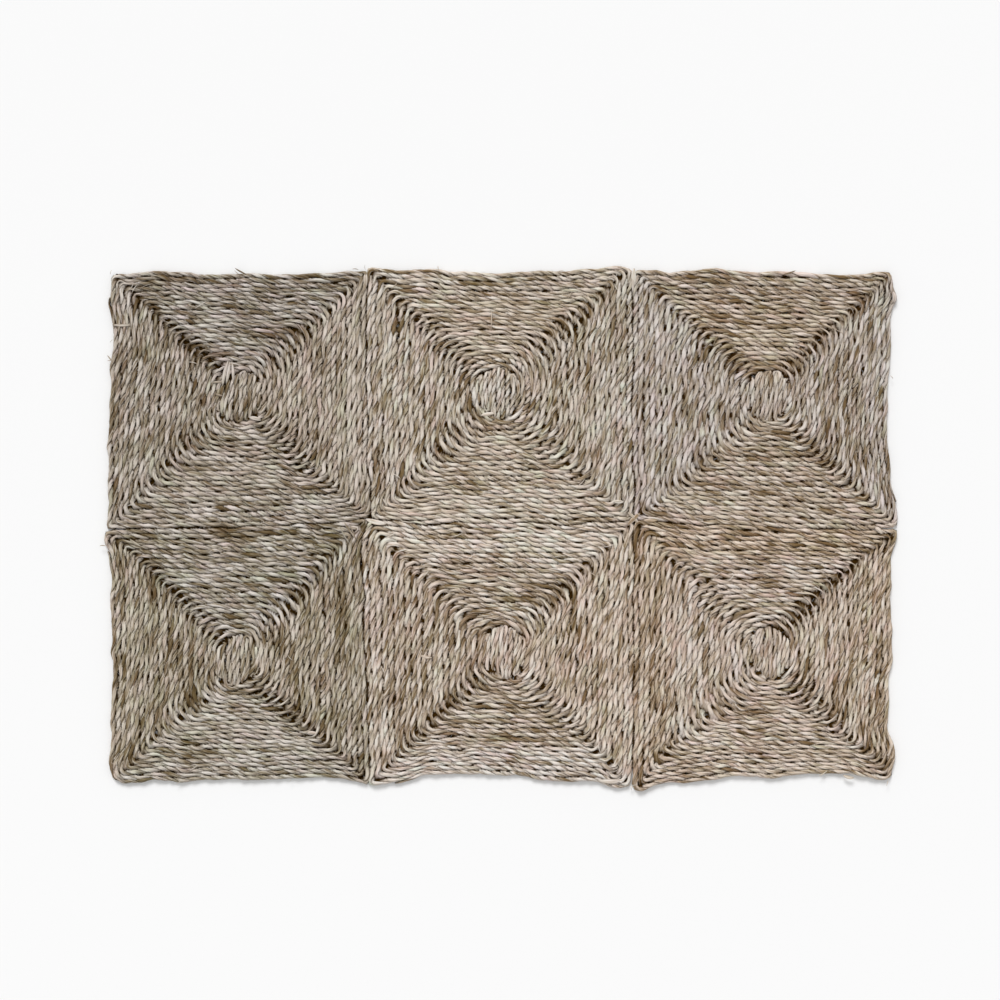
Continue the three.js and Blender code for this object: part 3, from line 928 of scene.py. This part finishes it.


# Materials

# Colours for each batch of rope: gap, the painted shade with dust deep between the strands, then the
# leaf's from the darkest to the palest
Palette = namedtuple("Palette", "gap dark brown middle pale cream")
PALETTES = {
    "greyed_seagrass": Palette(
        gap=(0.029, 0.014, 0.002), dark=(0.130, 0.084, 0.037), brown=(0.255, 0.198, 0.132),
        middle=(0.451, 0.389, 0.315), pale=(0.606, 0.541, 0.475), cream=(0.670, 0.612, 0.554),
    ),
    "silver_seagrass": Palette(
        gap=(0.036, 0.017, 0.003), dark=(0.173, 0.115, 0.053), brown=(0.343, 0.272, 0.188),
        middle=(0.580, 0.507, 0.425), pale=(0.698, 0.630, 0.560), cream=(0.708, 0.677, 0.623),
    ),
    "tan_seagrass": Palette(
        gap=(0.036, 0.016, 0.003), dark=(0.170, 0.107, 0.049), brown=(0.326, 0.246, 0.161),
        middle=(0.534, 0.446, 0.359), pale=(0.665, 0.582, 0.504), cream=(0.713, 0.643, 0.576),
    ),
    "olive_seagrass": Palette(
        gap=(0.029, 0.014, 0.002), dark=(0.130, 0.086, 0.037), brown=(0.255, 0.200, 0.125),
        middle=(0.451, 0.389, 0.303), pale=(0.606, 0.541, 0.461), cream=(0.670, 0.616, 0.546),
    ),
    "pale_seagrass": Palette(
        gap=(0.036, 0.017, 0.003), dark=(0.170, 0.109, 0.050), brown=(0.338, 0.260, 0.176),
        middle=(0.582, 0.494, 0.412), pale=(0.730, 0.647, 0.574), cream=(0.744, 0.709, 0.654),
    ),
    "warm_seagrass": Palette(
        gap=(0.036, 0.017, 0.003), dark=(0.173, 0.108, 0.049), brown=(0.343, 0.253, 0.165),
        middle=(0.586, 0.479, 0.381), pale=(0.725, 0.620, 0.530), cream=(0.734, 0.674, 0.602),
    ),
}

# Tints of the greenest leaf and the pinkest, and of the warmest side of a panel and the coolest
GREENER = (0.90, 1.0, 0.86, 1)
PINKER = (1.0, 0.86, 0.90, 1)
WARMER = (1.04, 0.97, 0.89, 1)
COOLER = (0.94, 1.0, 1.13, 1)

# Noise, by how fine it is and how much still finer noise lies in it
Noise = namedtuple("Noise", "scale detail")
FOLDS = Noise(0.62, 1)
STREAKS = Noise(1.5, 3)
STAINS = Noise(26, 3)
TINTS = Noise(48, 2)
FLOOR_GRAIN = Noise(3, 3)
ALONG_FIBRES = (1.0, 1.0, 0.07)  # draws a strand's noise out along it

# Tone runs from 0, the darkest leaf, to 1, the palest
MIDDLE_TONE = 0.48
TONE_STEP = 0.12  # for each unit of a strand's own tone
FOLD_TONE = 1.1
STREAK_TONE = 0.9
STAIN_TONE = 0.36
TONES = {"dark": 0.05, "brown": 0.26, "middle": 0.47, "pale": 0.68, "cream": 0.92}
STRAND_TINT = 0.55  # for each unit of a strand's own hue
PATCH_TINT = 5.0  # and how much the patches add
TINT_FROM = 0.2  # hue at which a tint begins
TINT_GAIN = 0.34
GAP_GAIN = 1.8  # how soon the painted shade in a gap is quite dark
ROUGHNESS = 0.7
STREAK_ROUGHNESS = 0.2  # what streaks add to it
SHINE = 0.08
FOLD_RELIEF = 2.0  # height of the folds, as against the streaks
RELIEF = {"Strength": 0.6, "Distance": 0.001}


def add_node(tree, kind, inputs=None, **settings):
    """A node with its settings, and with its inputs set to a value or linked to a socket."""
    made = tree.nodes.new(kind)
    for name, value in settings.items():
        setattr(made, name, value)
    for name, value in (inputs or {}).items():
        if isinstance(value, bpy.types.NodeSocket):
            tree.links.new(value, made.inputs[name])
        else:
            made.inputs[name].default_value = value
    return made


def math_node(tree, operation, *values, clamp=False):
    inputs = dict(enumerate(values))
    return add_node(tree, "ShaderNodeMath", inputs, operation=operation, use_clamp=clamp).outputs[0]


def mix_colours(tree, share, first, second, blend="MIX"):
    """Mixes two colours, each a socket or four numbers."""
    inputs = {0: share, 6: first, 7: second}
    made = add_node(tree, "ShaderNodeMix", inputs, data_type="RGBA", blend_type=blend)
    return made.outputs[2]


def attribute_node(tree, name, output):
    return add_node(tree, "ShaderNodeAttribute", attribute_name=name).outputs[output]


def noise_node(tree, noise, place=None):
    """Noise at a place, or at the surface's own coordinates."""
    inputs = {"Scale": noise.scale, "Detail": noise.detail}
    if place is not None:
        inputs["Vector"] = place
    return add_node(tree, "ShaderNodeTexNoise", inputs).outputs[0]


def add_noise(tree, noise, amount, value):
    """The value with noise added that is as often negative as positive."""
    centred = math_node(tree, "SUBTRACT", noise, 0.5)
    return math_node(tree, "MULTIPLY_ADD", centred, amount, value)


def leaf_colour(tree, palette, tone):
    """The palette's colour for a tone."""
    leaf = add_node(tree, "ShaderNodeValToRGB", {0: tone})
    stops = leaf.color_ramp.elements
    while len(stops) < len(TONES):
        stops.new(0.5)
    for stop, (name, at) in zip(stops, TONES.items()):
        stop.position = at
        stop.color = (*getattr(palette, name), 1)
    return leaf.outputs[0]


def add_tint(tree, colour, tint, amount, gain):
    """The colour with a tint, as far as the amount times its gain is over 0."""
    share = math_node(tree, "MULTIPLY", amount, gain, clamp=True)
    return mix_colours(tree, share, colour, tint, "MULTIPLY")


def seagrass_material(name):
    """Dry twisted leaf: each pass of a strand has its own tone, streaked along its fibres."""
    palette = PALETTES[name]
    material = bpy.data.materials.new(name)
    material.use_nodes = True
    tree = material.node_tree
    shader = tree.nodes["Principled BSDF"]

    # Streaks that run along the strand: leaf edges and folds, and finer fibres
    fibre = attribute_node(tree, "fibre", "Vector")
    stretched = add_node(
        tree, "ShaderNodeVectorMath", {0: fibre, 1: ALONG_FIBRES}, operation="MULTIPLY"
    ).outputs[0]
    folds = noise_node(tree, FOLDS, stretched)
    streaks = noise_node(tree, STREAKS, stretched)

    # Stains and dust that lie over several rows
    place = add_node(tree, "ShaderNodeNewGeometry").outputs["Position"]
    stains = noise_node(tree, STAINS, place)

    own_tone = attribute_node(tree, "tone", "Fac")
    tone = math_node(tree, "MULTIPLY_ADD", own_tone, TONE_STEP, MIDDLE_TONE)
    tone = add_noise(tree, folds, FOLD_TONE, tone)
    tone = add_noise(tree, streaks, STREAK_TONE, tone)
    tone = add_noise(tree, stains, STAIN_TONE, tone)
    colour = leaf_colour(tree, palette, tone)

    # Some passes and patches are greener and some pinker
    tints = noise_node(tree, TINTS, place)
    own_hue = math_node(tree, "MULTIPLY", attribute_node(tree, "hue", "Fac"), STRAND_TINT)
    hue = add_noise(tree, tints, PATCH_TINT, own_hue)
    green_hue = math_node(tree, "SUBTRACT", hue, TINT_FROM)
    pink_hue = math_node(tree, "SUBTRACT", -TINT_FROM, hue)
    colour = add_tint(tree, colour, GREENER, green_hue, TINT_GAIN)
    colour = add_tint(tree, colour, PINKER, pink_hue, TINT_GAIN)

    # Some sides of a panel are warmer in colour and some cooler
    warmth = attribute_node(tree, "warmth", "Fac")
    colour = add_tint(tree, colour, WARMER, warmth, 1.0)
    colour = add_tint(tree, colour, COOLER, warmth, -1.0)

    # Painted shade, with dust and age, darkens what lies deep between the strands towards the gap
    # colour
    inside = attribute_node(tree, "inside", "Fac")
    painted_shade_and_dust = math_node(tree, "MULTIPLY", inside, GAP_GAIN, clamp=True)
    colour = mix_colours(tree, painted_shade_and_dust, colour, (*palette.gap, 1))
    tree.links.new(colour, shader.inputs["Base Color"])

    rough = math_node(tree, "MULTIPLY_ADD", streaks, STREAK_ROUGHNESS, ROUGHNESS)
    tree.links.new(rough, shader.inputs["Roughness"])
    # Less gloss where that shade and dust are painted
    shine = math_node(tree, "MULTIPLY_ADD", painted_shade_and_dust, -SHINE, SHINE)
    tree.links.new(shine, shader.inputs["Specular IOR Level"])
    height = math_node(tree, "MULTIPLY_ADD", folds, FOLD_RELIEF, streaks)
    bump = add_node(tree, "ShaderNodeBump", {"Height": height, **RELIEF})
    tree.links.new(bump.outputs[0], shader.inputs["Normal"])
    return material


def make_panel(panel, seed):
    """A panel's two strands, in place of its solid."""
    material = seagrass_material(panel.slot)
    strands = make_strands(panel, seed)
    for strand in strands:
        strand.data.materials.append(material)
        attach(strand, "root")
        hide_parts(panel.name)


# Stage
VIEW_WIDTH = 1.150  # metres of the floor across the picture
LENS = 100.0
SENSOR = 36.0
VIEW_MIDDLE = (-0.002, 0.031)  # where the picture's middle falls on the rug's floor
VIEW_END = 50.0  # how far the camera sees
FLOOR_HALF = 6.0
FLOOR_DROP = 0.0002  # how far it lies under the rug
FLOOR_DULL = (0.86, 0.86, 0.86, 1)
FLOOR_PALE = (0.90, 0.90, 0.90, 1)
FLOOR_ROUGHNESS = 0.9
DAYLIGHT = 0.64
KEY_STRENGTH = 2.2
KEY_WIDTH = 22  # in degrees, which sets how soft its shadows are
KEY_TURN = (-48, -12, 0)  # in degrees too


def make_camera():
    data = bpy.data.cameras.new("camera")
    data.lens = LENS
    data.sensor_width = SENSOR
    data.clip_end = VIEW_END
    camera = bpy.data.objects.new("camera", data)
    camera.location = (*VIEW_MIDDLE, VIEW_WIDTH * LENS / SENSOR)
    bpy.context.scene.collection.objects.link(camera)
    bpy.context.scene.camera = camera


def make_floor():
    mesh = bpy.data.meshes.new("floor")
    corners = [(-1, -1), (1, -1), (1, 1), (-1, 1)]
    points = [(x * FLOOR_HALF, y * FLOOR_HALF, -FLOOR_DROP) for x, y in corners]
    mesh.from_pydata(points, [], [(0, 1, 2, 3)])
    floor = bpy.data.objects.new("floor", mesh)
    bpy.context.scene.collection.objects.link(floor)
    material = bpy.data.materials.new("pale_floor")
    material.use_nodes = True
    tree = material.node_tree
    shader = tree.nodes["Principled BSDF"]
    pale = mix_colours(tree, noise_node(tree, FLOOR_GRAIN), FLOOR_DULL, FLOOR_PALE)
    tree.links.new(pale, shader.inputs["Base Color"])
    shader.inputs["Roughness"].default_value = FLOOR_ROUGHNESS
    mesh.materials.append(material)


def make_lights():
    world = bpy.data.worlds.new("studio")
    bpy.context.scene.world = world
    world.use_nodes = True
    background = world.node_tree.nodes["Background"]
    background.inputs["Color"].default_value = (1, 1, 1, 1)
    background.inputs["Strength"].default_value = DAYLIGHT
    sun = bpy.data.lights.new("soft_key", "SUN")
    sun.energy = KEY_STRENGTH
    sun.angle = math.radians(KEY_WIDTH)
    key = bpy.data.objects.new("soft_key", sun)
    key.rotation_euler = [math.radians(angle) for angle in KEY_TURN]
    bpy.context.scene.collection.objects.link(key)
    bpy.context.scene.view_settings.view_transform = "Standard"


make_camera()
make_floor()
make_lights()
for number, panel in enumerate(PANELS):
    make_panel(panel, seed=number + 1)
